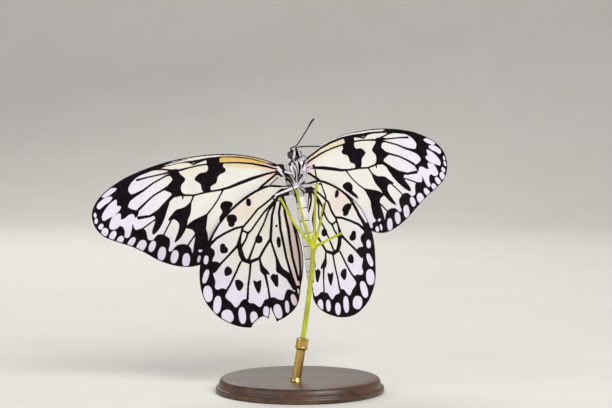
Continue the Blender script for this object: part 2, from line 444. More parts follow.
# The studio in metres: the floor runs back, curves up and stands as a wall
FLOOR_FRONT = -1.6
FLOOR_BACK = 0.9
FLOOR_CURVE = 0.5
FLOOR_HALF_WIDTH = 2.4
WALL_TOP = 2.4
AIM = Vector((0.0, 0.0, 0.06))
SKY_STRENGTH = 0.36
# Panels of light as (name, place, size, watts)
PANELS = (
    ("key_panel", (0.55, -0.75, 0.75), 0.6, 10.0),
    ("fill_panel", (-0.85, -0.6, 0.45), 0.8, 3.4),
    ("back_panel", (-0.2, 0.75, 0.7), 0.6, 4.0),
)

# Colours that several materials share
CREAM_SHADE = "#dcd9cf"
BLUSH_TINT = "#e0b5a8"


def from_photo(px, py, depth):
    """World place in millimetres of a pixel of the photograph at a depth along the camera's way."""
    tilt = math.radians(CAMERA_TILT)
    across = (px - PHOTO_FOOT_PIXEL[0]) * PHOTO_MM_PER_PIXEL
    up = (PHOTO_FOOT_PIXEL[1] - py) * PHOTO_MM_PER_PIXEL
    return Vector((across, depth, (up - depth * math.sin(tilt)) / math.cos(tilt)))


def pose_matrix():
    """The butterfly's own frame in the world, in millimetres."""
    turn = (Matrix.Rotation(-math.radians(CAMERA_TILT), 4, "X") @ Matrix.Rotation(-math.radians(ROLL), 4, "Y")
            @ Matrix.Rotation(math.radians(YAW), 4, "Z"))
    return Matrix.Translation(from_photo(*THORAX_PIXEL, 0.0)) @ turn


POSE = pose_matrix()
UNPOSE = POSE.inverted()


def smooth_line(points, step, closed=False):
    """Evenly spaced points along a smooth curve through the given ones."""
    points = [Vector(p) for p in points]
    count = len(points)
    line = []
    for i in range(count if closed else count - 1):
        b, c = points[i], points[(i + 1) % count]
        a = points[i - 1] if i or closed else b * 2 - c
        d = points[(i + 2) % count] if i + 2 < count or closed else c * 2 - b
        parts = max(1, round((c - b).length / step))
        for k in range(parts):
            t = k / parts
            line.append(0.5 * ((b * 2) + (c - a) * t + (a * 2 - b * 5 + c * 4 - d) * t * t
                               + (b * 3 - a - c * 3 + d) * t * t * t))
    if not closed:
        line.append(points[-1])
    return line


def soft(low, high, value):
    """0 below low, 1 above high and a smooth slope between, for numbers and arrays."""
    t = np.clip((np.asarray(value, float) - low) / (high - low), 0.0, 1.0)
    return t * t * (3.0 - 2.0 * t)


def nearest(spots, a, b):
    """The nearest share of the way from a to b for each spot, and how far away that is."""
    run = b - a
    share = np.clip(((spots - a) @ run) / max(run @ run, 1e-9), 0.0, 1.0)
    return share, np.linalg.norm(spots - a - share[:, None] * run, axis=1)


def line_depth(spots, line):
    """How deep each spot lies in a stroke given as (x, y, half width); negative outside it."""
    best = np.full(len(spots), -FAR)
    for a, b in zip(line, line[1:]):
        share, away = nearest(spots, np.array(a[:2]), np.array(b[:2]))
        best = np.maximum(best, a[2] + (b[2] - a[2]) * share - away)
    return best


def loop_distance(spots, line):
    """How far each spot is from a closed line."""
    best = np.full(len(spots), FAR)
    for a, b in zip(line, np.roll(line, -1, axis=0)):
        best = np.minimum(best, nearest(spots, a, b)[1])
    return best


def within(spots, line):
    """Which spots lie inside a closed line."""
    inner = np.zeros(len(spots), bool)
    for a, b in zip(line, np.roll(line, -1, axis=0)):
        if a[1] != b[1]:
            cross = (a[1] > spots[:, 1]) != (b[1] > spots[:, 1])
            inner ^= cross & (spots[:, 0] < a[0] + (spots[:, 1] - a[1]) * (b[0] - a[0]) / (b[1] - a[1]))
    return inner


def loop_depth(spots, loop):
    """How deep each spot lies inside a smoothed closed loop; negative outside it."""
    line = np.array([tuple(p) for p in smooth_line(loop, LOOP_STEP, True)])
    away = loop_distance(spots, line)
    return np.where(within(spots, line), away, -away)


def oval_depth(spots, oval):
    """How deep each spot lies in an oval given as (x, y, half width, half length, turn in degrees)."""
    x, y, across, along, turn = oval
    c, s = math.cos(math.radians(turn)), math.sin(math.radians(turn))
    dx, dy = spots[:, 0] - x, spots[:, 1] - y
    u, v = (dx * c + dy * s) / across, (-dx * s + dy * c) / along
    size = (np.abs(u) ** OVAL_POWER + np.abs(v) ** OVAL_POWER) ** (1.0 / OVAL_POWER)
    return (1.0 - size) * min(across, along)


def soft_union(one, two, width):
    """The deeper of two depths, with a rounded corner where they meet."""
    mix = np.clip(0.5 + 0.5 * (one - two) / width, 0.0, 1.0)
    return two + (one - two) * mix + width * mix * (1.0 - mix)


def turned(spots, root, angle, back=False):
    """Spots of a wing's drawing turned about its root and measured from the midline, or back again."""
    c, s = math.cos(math.radians(angle)), math.sin(math.radians(angle))
    turn = np.array(((c, -s), (s, c)))
    spots = np.asarray(spots, float)
    return (spots - np.array(root)) @ turn if back else np.array(root) + spots @ turn.T


def pattern_place(kind, side, flat):
    """Where spots of a wing's plan lie in the drawing of the markings."""
    spots = turned(flat, WINGS[kind][1], WING_SET[kind, side], back=True)
    x, y = spots.T
    if side > 0 and kind == "forewing":
        size, height, spread, near, far = FOREWING_LEAN
        x += size * np.exp(-((y - height) / spread) ** 2) * (1.0 - soft(near, far, x))
    if side > 0 and kind == "hindwing":
        size, reach, power, high, low = HINDWING_LEAN
        x += size * (1.0 - np.clip(x / reach, 0.0, 1.0) ** power) * soft(-high, -low, -y)
    return spots


def tint_patches(kind, tint, x, y):
    """The patches of one tint on a wing, each its strength times its slopes."""
    ways = {"x": x, "-x": -x, "y": y, "-y": -y}
    return [strength * np.prod([soft(low, high, ways[way]) for way, low, high in slopes], axis=0)
            for strength, slopes in TINTS[kind][tint]]


def wing_marks(kind, spots, edge, inset=0.0):
    """Depth of the dark markings, ridge of the veins, and the tints, at spots of the drawing."""
    ink = np.full(len(spots), -FAR)
    ridge = np.zeros(len(spots))
    for vein in FOREWING_VEINS if kind == "forewing" else HINDWING_VEINS:
        wider = [(x, y, half + VEIN_EXTRA[kind]) for x, y, half in vein]
        ink = soft_union(ink, line_depth(spots, wider), VEIN_MELT)
        middle = line_depth(spots, [(x, y, 0.0) for x, y, _ in vein])
        ridge = np.maximum(ridge, np.exp(-(middle / RIDGE_WIDTH) ** 2))
    if kind == "forewing":
        bars, dots, shields = FOREWING_BARS, (), ()
        windows, ovals = FOREWING_WINDOWS, FOREWING_SPOTS
    else:
        bars, dots, shields = (HINDWING_BORDER,), HINDWING_DOTS, HINDWING_SHIELDS
        windows, ovals = (), HINDWING_SPOTS
    for loop in bars:
        ink = soft_union(ink, loop_depth(spots, loop), BAR_MELT)
    for dot in dots:
        ink = soft_union(ink, oval_depth(spots, dot), DOT_MELT)
    for loop in shields:
        ink = soft_union(ink, loop_depth(spots, loop), DOT_MELT)
    pale = [loop_depth(spots, loop) for loop in windows] + [oval_depth(spots, oval) for oval in ovals]
    ink = np.minimum(ink, -np.max(pale, axis=0))
    ink = np.maximum(ink, DARK_RIM - edge)
    x, y = spots.T
    yellow, blush, cool = [tint_patches(kind, tint, x, y) for tint in ("yellow", "blush", "cool")]
    if kind == "forewing":
        strip = line_depth(spots, [(a, b - inset, c) for a, b, c in COSTA_STRIP])
        ink = np.maximum(np.minimum(ink, -strip), inset * 1.5 - 0.25 - edge)
        yellow += [soft(-0.55, 0.35, line_depth(spots, YELLOW_STREAK)) * soft(3.0, 7.0, x),
                   0.5 * soft(-0.7, 0.7, line_depth(spots, YELLOW_GLOW))]
        cool += [soft(-0.1, 0.1, strip)]
    return {"ink": ink, "ridge": ridge, "yellow": np.max(yellow, axis=0), "blush": np.max(blush, axis=0),
            "cool": np.clip(sum(cool), 0.0, 1.0)}


def wing_place(side, spots, lift):
    """Points of the wing plane in the butterfly's frame, with the bow and curl of the wing."""
    along, height = spots[:, 0], spots[:, 1]
    reach = np.hypot(along, height) / WING_LENGTH
    curl = np.clip((height - CURL_HEIGHTS[0]) / (CURL_HEIGHTS[1] - CURL_HEIGHTS[0]), 0.0, 1.0)
    lift = lift + WING_CAMBER * reach * reach + CURL_SLOPE * along * curl * curl * (3.0 - 2.0 * curl)
    tilt = math.radians(DIHEDRAL)
    return np.stack((side * (along * math.cos(tilt) - lift * math.sin(tilt)),
                     MIDLINE_D + along * math.sin(tilt) + lift * math.cos(tilt), height), axis=1)


def wing_plan(kind, side, step):
    """A wing's plan in even triangles, how far each point is from its edge, and the lowest x and y."""
    outline, root, _ = WINGS[kind]
    angle = WING_SET[kind, side]
    loop = turned([tuple(p) for p in smooth_line(outline, step)], root, angle)
    loop[:, 0] = np.maximum(loop[:, 0], MIDLINE_CLEAR)
    lines = [loop]
    if kind == "hindwing" and side < 0:
        lines.append(turned([tuple(p) for p in smooth_line(HINDWING_BITE, step * 2.0)], root, angle))
    points, edges = [], []
    for line in lines:
        start = len(points)
        points += [Vector(p) for p in line]
        edges += [(start + i, start + (i + 1) % len(line)) for i in range(len(line))]
    low, high = loop.min(axis=0), loop.max(axis=0)
    across = np.arange(low[0], high[0], step)
    up = np.arange(low[1], high[1], step * TRIANGLE_ROW)
    grid = np.array([(x + 0.5 * step * (j % 2), y) for j, y in enumerate(up) for x in across])
    grid = grid[within(grid, loop)]
    grid = grid[loop_distance(grid, loop) > 0.5 * step]
    points += [Vector(p) for p in grid]
    flat, _, faces, _, _, _ = delaunay_2d_cdt(points, edges, [], 0, CUT_TOLERANCE)
    flat = np.array([tuple(p) for p in flat])
    faces = np.array([f for f in faces if len(f) == 3])
    middles = flat[faces].mean(axis=1)
    keep = within(middles, loop)
    for bite in lines[1:]:
        keep &= ~within(middles, bite)
    used, faces = np.unique(faces[keep], return_inverse=True)
    flat = flat[used]
    edge = np.min([loop_distance(flat, line) for line in lines], axis=0)
    return flat, faces.reshape(-1, 3), edge, low


def wing_piece(kind, side, settings):
    """Points, faces, unwrap and marks of one wing, with the same triangles on both faces."""
    flat, faces, edge, low = wing_plan(kind, side, settings.mesh_step / MM)
    marks = wing_marks(kind, pattern_place(kind, side, flat), edge, COSTA_INSET[side])
    marks["yellow"] *= YELLOW_SHARE[side]
    rim = np.sqrt(np.clip(edge / EDGE_ROUNDING, 0.0, 1.0))
    half = settings.wing_thickness / MM / 2.0 * (EDGE_THICKNESS + (1.0 - EDGE_THICKNESS) * rim)
    half += settings.vein_height / MM * marks.pop("ridge")
    lift = WINGS[kind][2]
    points = np.concatenate((wing_place(side, flat, lift + half), wing_place(side, flat, lift - half)))
    count = len(flat)
    sides = np.concatenate((faces[:, (0, 1)], faces[:, (1, 2)], faces[:, (2, 0)]))
    keys = np.sort(sides, axis=1)
    _, first, tally = np.unique(keys[:, 0] * count + keys[:, 1], return_index=True, return_counts=True)
    rims = sides[first[tally == 1]]
    joined = np.concatenate((faces, faces[:, ::-1] + count,
                             np.stack((rims[:, 1], rims[:, 0], rims[:, 0] + count), axis=1),
                             np.stack((rims[:, 1], rims[:, 0] + count, rims[:, 1] + count), axis=1)))
    if side < 0:
        joined = joined[:, ::-1]
    laid = (flat - low) * (1.0 / WING_UNWRAP)
    unwrap = np.concatenate((laid + UNWRAP_MARGIN, laid + np.array((0.5, UNWRAP_MARGIN))))
    marks = {key: np.tile(value, 2) for key, value in marks.items()}
    return points, joined.tolist(), unwrap[joined.ravel()], marks


def turns(count):
    """Evenly spaced angles round a ring."""
    return [2 * math.pi * k / count for k in range(count)]


def quarter(count):
    """Evenly spaced angles up to a right angle, without the zero."""
    return [math.pi / 2 * k / count for k in range(1, count + 1)]


def ring_piece(rings):
    """Points, faces and unwrap of a body made of rings of points, closed at both ends."""
    rings = np.asarray(rings, float)
    rows, sides, _ = rings.shape
    points = rings.reshape(-1, 3)
    faces, unwrap = [], []
    for i in range(rows - 1):
        for k in range(sides):
            j = (k + 1) % sides
            faces.append((i * sides + k, i * sides + j, (i + 1) * sides + j, (i + 1) * sides + k))
            unwrap += [(k / sides, i / rows), ((k + 1) / sides, i / rows), ((k + 1) / sides, (i + 1) / rows),
                       (k / sides, (i + 1) / rows)]
    for row, order in ((0, -1), (rows - 1, 1)):
        middle = len(points)
        points = np.vstack((points, rings[row].mean(axis=0)))
        for k in range(sides):
            pair = (row * sides + k, row * sides + (k + 1) % sides)
            faces.append((middle, *pair[::order]))
            unwrap += [(k / sides, row / rows)] * 3
    return points, faces, unwrap


def tube_rings(path, radii, sides):
    """Rings of points round a path; each radius is a number or (across, through)."""
    path = [Vector(p) for p in path]
    first = (path[1] - path[0]).normalized()
    across = first.cross(Vector((0.0, 1.0, 0.0)))
    if across.length < 0.2:
        across = first.cross(Vector((1.0, 0.0, 0.0)))
    rings = []
    for i, point in enumerate(path):
        run = (path[min(i + 1, len(path) - 1)] - path[max(i - 1, 0)]).normalized()
        across = (across - run * across.dot(run)).normalized()
        through = run.cross(across)
        wide, deep = radii[i] if isinstance(radii[i], tuple) else (radii[i], radii[i])
        rings.append([tuple(point + across * wide * math.cos(a) + through * deep * math.sin(a))
                      for a in turns(sides)])
    return rings


def rounded(path, radii):
    """A path and its radii with the far end drawn in to a point."""
    path, radii = [Vector(p) for p in path], list(radii)
    run, end, size = (path[-1] - path[-2]).normalized(), path[-1], radii[-1]
    return (path + [end + run * size * math.sin(a) for a in END_ANGLES],
            radii + [size * math.cos(a) for a in END_ANGLES])


def join(pieces, apart=True):
    """Several pieces of points, faces, unwrap and marks in one, with the unwraps side by side if apart."""
    points, faces, unwrap, marks, start = [], [], [], {}, 0
    shares = np.array([math.sqrt(len(piece[0])) for piece in pieces])
    shares = shares / shares.sum() if apart else np.ones(len(pieces))
    edges = np.concatenate(((0.0,), np.cumsum(shares))) if apart else np.zeros(len(pieces))
    for (some, those, places, values), share, edge in zip(pieces, shares, edges):
        points.append(np.asarray(some, float))
        faces += [tuple(i + start for i in face) for face in those]
        places = np.asarray(places, float) * ((share * 0.97 if apart else 1.0), 1.0) + (edge, 0.0)
        unwrap.append(places)
        for key, value in values.items():
            marks.setdefault(key, []).append(np.broadcast_to(value, (len(some),)))
        start += len(some)
    marks = {key: np.concatenate(values) for key, values in marks.items()}
    return np.vstack(points), faces, np.vstack(unwrap), marks


def ring_place(height):
    """How many rings of the abdomen lie between its top and a height."""
    return (ABDOMEN_TOP - height) / (ABDOMEN_TOP - BODY_SECTIONS[0][0]) * ABDOMEN_RINGS


def body_table():
    """The body's sections at close heights, smoothed, with the seams between the abdomen's segments."""
    rows = np.array(BODY_SECTIONS)
    heights = np.arange(rows[0, 0], rows[-1, 0] + 0.01, BODY_STEP)
    columns = np.array([np.interp(heights, rows[:, 0], rows[:, k]) for k in range(1, 5)])
    for _ in range(BODY_SMOOTHING):
        columns[:, 1:-1] = 0.25 * columns[:, :-2] + 0.5 * columns[:, 1:-1] + 0.25 * columns[:, 2:]
    at = ring_place(heights)
    seam = RING_DEPTH * np.exp(-(np.abs(at - np.round(at)) / SEAM_WIDTH) ** 2)
    groove = seam - SEGMENT_SWELL * np.sin(np.pi * np.mod(at, 1.0))
    columns[:2] -= np.where((at > 0.0) & (at < ABDOMEN_RINGS - 0.2), groove, 0.0)
    return heights, columns


BODY_HEIGHTS, BODY_COLUMNS = body_table()


def body_surface(height, angle):
    """Points of the body and the ways out from it, by height and by angle round from the underside."""
    wide, deep, across, back = [np.interp(height, BODY_HEIGHTS, column) for column in BODY_COLUMNS]
    points = np.stack((across + wide * np.sin(angle), back - deep * np.cos(angle), height), axis=1)
    out = np.stack((np.sin(angle) / wide, -np.cos(angle) / deep, np.zeros(len(points))), axis=1)
    out /= np.linalg.norm(out, axis=1)[:, None]
    return points, out


def body_point(height, angle):
    """One point of the body and the way out from it."""
    return [Vector(v[0]) for v in body_surface(np.array([height]), np.array([angle]))]


def round_share(angle):
    """0 in the middle of the underside and 1 in the middle of the back."""
    return np.abs(np.mod(angle / math.pi + 1.0, 2.0) - 1.0)


def eye_centre(side):
    """The middle of an eye."""
    return HEAD_CENTRE + Vector((side * (HEAD_FLAT + EYE_SHIFT), 0.0, EYE_RISE))


def fan_marks(x, z):
    """Depth of the dark stripes that fan out under the thorax and over the roots of the wings."""
    axis = FAN_CENTRE[0] * soft(*FAN_SWING, z)
    spots = np.stack((FAN_CENTRE[0] - np.abs(x - axis), z), axis=1)
    return np.max([line_depth(spots, line) for line in FAN_STRIPES], axis=0)


def body_marks(points, angle):
    """Depth of the dark markings of the body: a fan of stripes under the thorax, lines along its back."""
    x, _, z = points.T
    over = soft(*FLANK, round_share(angle))
    back = np.minimum(np.abs(np.abs(x) - 1.0) - 0.26, np.abs(x) - 0.12)
    thorax = fan_marks(x, z) * (1.0 - over) + back * over
    at = ring_place(z)
    seam = np.where(at > 0.4, 0.16 - np.abs(at - np.round(at)) * 4.5, -1.0)
    line = 0.75 - np.abs(x) - 2.0 * (1.0 - over)
    sides = 0.14 - np.abs(round_share(angle) - 0.52) * 5.0
    tail = (-37.0 - z) * 0.5
    abdomen = np.max((seam, line, sides, tail), axis=0)
    head_x, head_z = x - HEAD_CENTRE.x, z - HEAD_CENTRE.z
    brow = 0.22 - np.hypot(head_x * 0.7, head_z - 1.25)
    cheek = 0.24 - np.abs(np.abs(head_x) - 1.18)
    throat = 0.5 - np.abs(head_x) - np.maximum(head_z + 0.7, 0.0)
    head = -np.max((brow, cheek, throat), axis=0)
    neck = np.abs(np.abs(x - 0.15) - 0.55) - 0.28
    marks = np.where(z < ABDOMEN_TOP, abdomen, thorax)
    marks = np.where(z > NECK_HEIGHT, neck, marks)
    return np.where(z > HEAD_HEIGHT, head, marks)


def wing_base(kind, side):
    """The swelling that a wing grows from, where the thorax's stripes turn into the wing's veins."""
    outline, root, lift = WINGS[kind]
    low, high = turned((outline[-1], outline[0]), root, WING_SET[kind, side])
    across = (high - low) / np.linalg.norm(high - low)
    inwards = np.array((-across[1], across[0]))
    middle, half = (low + high) / 2, np.linalg.norm(high - low) / 2
    up = wing_place(side, np.array([high]), lift)[0] - wing_place(side, np.array([low]), lift)[0]
    up = Vector(up).normalized()
    ahead = Vector(wing_place(side, np.array([middle - inwards * BASE_AIM]), lift)[0])
    turn = turns(BASE_SIDES)
    rings, spots = [], []
    steps = np.array(BASE_STEPS).T
    for back in np.linspace(steps[0, 0], steps[0, -1], BASE_ROWS):
        size, thick = [np.interp(-back, -steps[0], column) for column in steps[1:]]
        point = Vector(wing_place(side, np.array([middle + inwards * back]), lift)[0])
        through = (ahead - point).normalized().cross(up)
        rings.append([tuple(point + up * half * size * math.cos(a) + through * thick * math.sin(a))
                      for a in turn])
        plan = middle + inwards * min(back, BASE_READ) + np.outer(half * np.cos(turn), across)
        spots.append(pattern_place(kind, side, plan))
    points, faces, unwrap = ring_piece(rings)
    spots = np.concatenate(spots + [spots[0][:1], spots[-1][:1]])
    marks = wing_marks(kind, spots, np.full(len(spots), FAR))
    ink = marks["ink"] - BASE_THINNER[kind] * soft(-2.9, -2.0, -spots[:, 0])
    outer = np.repeat(soft(*BASE_TURNS[kind], np.linspace(0.0, 1.0, BASE_ROWS)), BASE_SIDES)
    outer = np.concatenate((outer, (0.0, 1.0)))
    ink = fan_marks(points[:, 0], points[:, 2]) * (1.0 - outer) + ink * outer
    return points, faces, unwrap, {"ink": ink, "blush": marks["blush"] * outer, "cream": outer}


def tufts(roots, out, lie, lengths, widths, places, ink, seed, stand=0.2):
    """Short solid hairs that lie along the skin, each unwrapped in a small patch at its root's place."""
    draw = np.random.default_rng(seed)
    count = len(roots)
    across = np.cross(out, lie)
    swing = draw.normal(0.0, HAIR_SWING, count)[:, None]
    lie = lie * np.cos(swing) + across * np.sin(swing)
    across = np.cross(out, lie)
    lengths = lengths[:, None]
    rise = (stand * draw.uniform(0.6, 1.8, count))[:, None]
    base = roots - out * HAIR_DEPTH
    middle = roots + lie * lengths * 0.5 + out * lengths * rise
    tip = roots + lie * lengths * (1.02 - rise) + out * lengths * rise * 1.3
    points = np.empty((count, HAIR_POINTS, 3))
    for k, (side, up) in enumerate(((-1.0, 0.0), (1.0, 0.0), (0.0, 0.8))):
        corner = (across * side + out * up) * widths[:, None]
        points[:, k] = base + corner
        points[:, 3 + k] = middle + corner * 0.8
    points[:, 6] = tip
    shape = ((0, 2, 1), (0, 1, 4, 3), (1, 2, 5, 4), (2, 0, 3, 5), (3, 4, 6), (4, 5, 6), (5, 3, 6))
    faces = [tuple(HAIR_POINTS * i + k for k in face) for i in range(count) for face in shape]
    patch = np.array(((-1, -1), (1, -1), (0, -0.6), (-1, 0.3), (1, 0.3), (0, 0.5), (0, 1))) * HAIR_PATCH
    spots = places[:, None, :] + patch[None]
    order = np.array([k for face in shape for k in face])
    unwrap = spots[:, order].reshape(-1, 2)
    return points.reshape(-1, 3), faces, unwrap, {"ink": np.repeat(ink, HAIR_POINTS)}


def body_piece():
    """The skin of the head, thorax and abdomen in one."""
    rows = len(BODY_HEIGHTS)
    angles = np.tile(turns(BODY_SIDES), rows)
    points, _ = body_surface(np.repeat(BODY_HEIGHTS, BODY_SIDES), angles)
    ink = np.concatenate((body_marks(points, angles), (0.3, 0.3)))
    skin = ring_piece(points.reshape(rows, BODY_SIDES, 3))
    pieces = [(*skin, {"ink": ink, "blush": 0.0, "cream": 0.0})]
    pieces += [wing_base(kind, side) for kind in WINGS for side in SIDES]
    return join(pieces)


def body_coat(settings, seed=7):
    """The hairs of the head and thorax, and the scales that stand out along the abdomen's seams."""
    draw = np.random.default_rng(seed)
    longer = settings.hair_length / HAIR_LENGTH
    pieces = []
    for low, high, count, length, width, stand in COAT_ZONES:
        height = draw.uniform(low, high, count)
        angle = draw.uniform(0.0, 2.0 * math.pi, count)
        wide = np.interp(height, BODY_HEIGHTS, BODY_COLUMNS[0])
        keep = draw.uniform(0.0, 1.0, count) < wide / wide.max()
        height, angle = height[keep], angle[keep]
        points, out = body_surface(height, angle)
        clear = np.ones(len(points), bool)
        for side in SIDES:
            away = (points - np.array(eye_centre(side))) / (np.array(EYE_RADII) * EYE_CLEAR)
            clear &= (away ** 2).sum(axis=1) > 1.0
        height, angle, points, out = height[clear], angle[clear], points[clear], out[clear]
        lie = np.tile((0.0, 0.0, -1.0), (len(points), 1))
        lie[:, 0] += 0.25 * np.sin(angle)
        if low < 0.0 < high:
            spoke = points - (FAN_CENTRE[0], 0.0, FAN_CENTRE[1])
            spoke[:, 1] = 0.0
            front = 1.0 - soft(*FLANK, round_share(angle))
            lie += spoke * (front * (1.0 - 2.0 * soft(-1.2, 1.2, spoke[:, 2])))[:, None]
        lie -= out * (lie * out).sum(axis=1)[:, None]
        lie /= np.linalg.norm(lie, axis=1)[:, None]
        rows = (height - BODY_HEIGHTS[0]) / BODY_STEP / len(BODY_HEIGHTS)
        places = np.stack((np.mod(angle / (2 * math.pi), 1.0), rows), axis=1)
        lengths = length * longer * draw.uniform(0.7, 1.25, len(points))
        widths = width * draw.uniform(0.75, 1.2, len(points))
        ink = body_marks(points, angle) * 3.0
        pieces.append(tufts(points, out, lie, lengths, widths, places, ink, seed + len(pieces), stand))
    return join(pieces, False)


def line_coat(rings, low, high, count, length, width, ink, seed):
    """Short hairs along a limb made of rings, between two shares of its length."""
    draw = np.random.default_rng(seed)
    rings = np.asarray(rings, float)
    rows, sides, _ = rings.shape
    row = np.clip((draw.uniform(low, high, count) * (rows - 1)).astype(int), 1, rows - 2)
    side = draw.integers(0, sides, count)
    roots = rings[row, side]
    middles = rings[row].mean(axis=1)
    out = roots - middles
    out /= np.linalg.norm(out, axis=1)[:, None]
    lie = rings[row + 1].mean(axis=1) - rings[row - 1].mean(axis=1)
    lie /= np.linalg.norm(lie, axis=1)[:, None]
    lie -= out * (lie * out).sum(axis=1)[:, None]
    places = np.stack((side / sides, row / rows), axis=1)
    lengths = length * draw.uniform(0.6, 1.3, count)
    widths = width * draw.uniform(0.8, 1.2, count)
    return tufts(roots, out, lie, lengths, widths, places, ink[row, side], seed)


def ball_piece(centre, radii, rows=28, sides=40):
    """A finely ringed ellipsoid."""
    rings = []
    for i in range(rows + 1):
        a = math.pi * (0.02 + 0.96 * i / rows)
        rings.append([(centre[0] + radii[0] * math.sin(a) * math.cos(b),
                       centre[1] + radii[1] * math.sin(a) * math.sin(b),
                       centre[2] + radii[2] * math.cos(a)) for b in turns(sides)])
    return ring_piece(rings)


def head_surface(direction):
    """The point of the head in a direction from its middle, and the way out from it."""
    d = Vector(direction).normalized()
    point = d * (1.0 / math.sqrt(sum((d[i] / HEAD_RADII[i]) ** 2 for i in range(3))))
    return HEAD_CENTRE + point, Vector(tuple(point[i] / HEAD_RADII[i] ** 2 for i in range(3))).normalized()


def spread(values, count):
    """Evenly spread values read along a list of them."""
    shares = np.linspace(0.0, 1.0, len(values))
    return [float(v) for v in np.interp(np.linspace(0.0, 1.0, count), shares, values)]


def palp_rings(side):
    """One palp: three short joints that stand up in front of the face and end in a point."""
    start, out = head_surface((side * 0.42, -0.82, -0.42))
    bend = HEAD_CENTRE + Vector((side * 0.75, -2.75, 0.3))
    tip = HEAD_CENTRE + Vector((side * 0.62, -2.55, 2.2))
    path = smooth_line([start - out * 0.3, start + out * 0.85, bend, tip], 0.12)
    return tube_rings(path, [(w, w * PALP_FLATNESS) for w in spread(PALP_SIZES, len(path))], 20)


def antenna_rings(side):
    """One feeler: a thin shaft of short joints and a slender club."""
    start, out = head_surface((side * 0.42, -0.1, 0.9))
    way = [UNPOSE @ from_photo(*p) for p in ANTENNAE[side]]
    path = smooth_line([start - out * 0.2, start + out * 0.9] + way, 0.11)
    size = np.interp(np.linspace(0.0, 1.0, len(path)), ANTENNA_SHARES, ANTENNA_SIZES)
    size *= 1.0 + 0.07 * np.cos(np.arange(len(path)) * 2.0 * math.pi / 5.0)
    return tube_rings(*rounded(path, size), 14)


def leg_rings(name):
    """One walking leg: thigh, shin and foot with the joints narrowed."""
    stemlet, side, angle, height, knee, ankle = LEGS[name]
    start, out = body_point(height, side * angle)
    knee, ankle = UNPOSE @ from_photo(*knee), UNPOSE @ from_photo(*ankle)
    low, high = [from_photo(*p) for p in STEMLETS[stemlet]]
    run = (low - high).normalized()
    off = (POSE @ ankle) - high
    off = (off - run * off.dot(run)).normalized()
    foot = [UNPOSE @ (high + run * along + off * (STEMLET_RADIUS + TOE_RADIUS)) for along in TOE_PLACES]
    thigh = smooth_line([start - out * 0.4, start + out * 1.2, knee], LIMB_STEP)
    shin = smooth_line([knee, knee + (ankle - knee) * 0.5, ankle], LIMB_STEP)
    toes = smooth_line([ankle, *foot], LIMB_STEP)
    path = thigh[:-1] + shin[:-1] + toes
    size = spread(THIGH_SIZES, len(thigh) - 1) + spread(SHIN_SIZES, len(shin) - 1)
    size += [FOOT_SIZE * (1.0 + 0.14 * math.sin(i * LIMB_STEP / TOE_JOINT * 2.0 * math.pi))
             for i in range(len(toes))]
    return tube_rings(*rounded(path, size), 16), len(thigh) / len(path), foot[1], off, run


def claws(toe, off, run):
    """The two small claws at the tip of a foot."""
    turn = UNPOSE.to_3x3()
    run, off = turn @ run, turn @ off
    side = run.cross(off).normalized()
    pieces = []
    for way in (1.0, -1.0):
        bend = toe + run * 0.3 + side * way * 0.16
        path = smooth_line([toe, bend, toe + run * 0.45 + side * way * 0.2 - off * 0.22], 0.06)
        pieces.append((*ring_piece(tube_rings(path, spread(CLAW_SIZES, len(path)), 8)), {"ink": 0.5}))
    return pieces


def foreleg_rings(side):
    """One of the two short front legs folded under the head."""
    start, out = body_point(FORELEG_HEIGHT, side * FORELEG_ANGLES[side])
    path = smooth_line([start - out * 0.2, start + out * 0.7 + Vector((side * 0.05, 0.0, 0.1)),
                        start + out * 0.3 + Vector((side * 0.12, -0.8, -1.6)),
                        start + out * 0.3 + Vector((side * -0.12, -0.9, -3.5))], 0.1)
    return tube_rings(*rounded(path, spread(FORELEG_SIZES, len(path))), 16)


def make_piece(name, piece, skin, posed=True, angle=0):
    """An object in metres from points in millimetres, faces, unwrap places and marks."""
    points, faces, unwrap, marks = piece
    points = np.asarray(points, float)
    if posed:
        turn = np.array(POSE)
        points = points @ turn[:3, :3].T + turn[:3, 3]
    mesh = bpy.data.meshes.new(name)
    mesh.from_pydata((points * MM).tolist(), [], faces)
    layer = mesh.uv_layers.new(name="OFBake")
    layer.data.foreach_set("uv", np.asarray(unwrap, np.float32).ravel())
    for key, values in marks.items():
        attribute = mesh.attributes.new(key, "FLOAT", "POINT")
        attribute.data.foreach_set("value", np.asarray(values, np.float32))
    mesh.materials.append(skin)
    mesh.shade_smooth()
    if angle:
        mesh.set_sharp_from_angle(angle=math.radians(angle))
    thing = bpy.data.objects.new(name, mesh)
    bpy.context.scene.collection.objects.link(thing)
    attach(thing, "root")
    return thing


def linear(hex_colour):
    """A linear colour from an sRGB hex code."""
    parts = [int(hex_colour[i:i + 2], 16) / 255.0 for i in (1, 3, 5)]
    return tuple(p / 12.92 if p <= 0.04045 else ((p + 0.055) / 1.055) ** 2.4 for p in parts)


def add_node(tree, kind, inputs=None, **settings):
    """Adds a shader node with its settings, its plain values and its links."""
    made = tree.nodes.new("ShaderNode" + kind)
    for key, value in settings.items():
        setattr(made, key, value)
    for key, value in (inputs or {}).items():
        if isinstance(value, bpy.types.NodeSocket):
            tree.links.new(value, made.inputs[key])
        else:
            made.inputs[key].default_value = value
    return made


def new_material(name, roughness, metallic=0.0, **more):
    """A material with one Principled shader, and its tree, shader and coordinates in millimetres."""
    made = bpy.data.materials.new(name)
    made.use_nodes = True
    tree = made.node_tree
    shader = tree.nodes["Principled BSDF"]
    shader.inputs["Roughness"].default_value = roughness
    shader.inputs["Metallic"].default_value = metallic
    for key, value in more.items():
        shader.inputs[key.replace("_", " ")].default_value = value
    place = add_node(tree, "TexCoord").outputs["Object"]
    place = add_node(tree, "VectorMath", {0: place, 1: (1000.0, 1000.0, 1000.0)}, operation="MULTIPLY")
    return made, tree, shader, place.outputs[0]


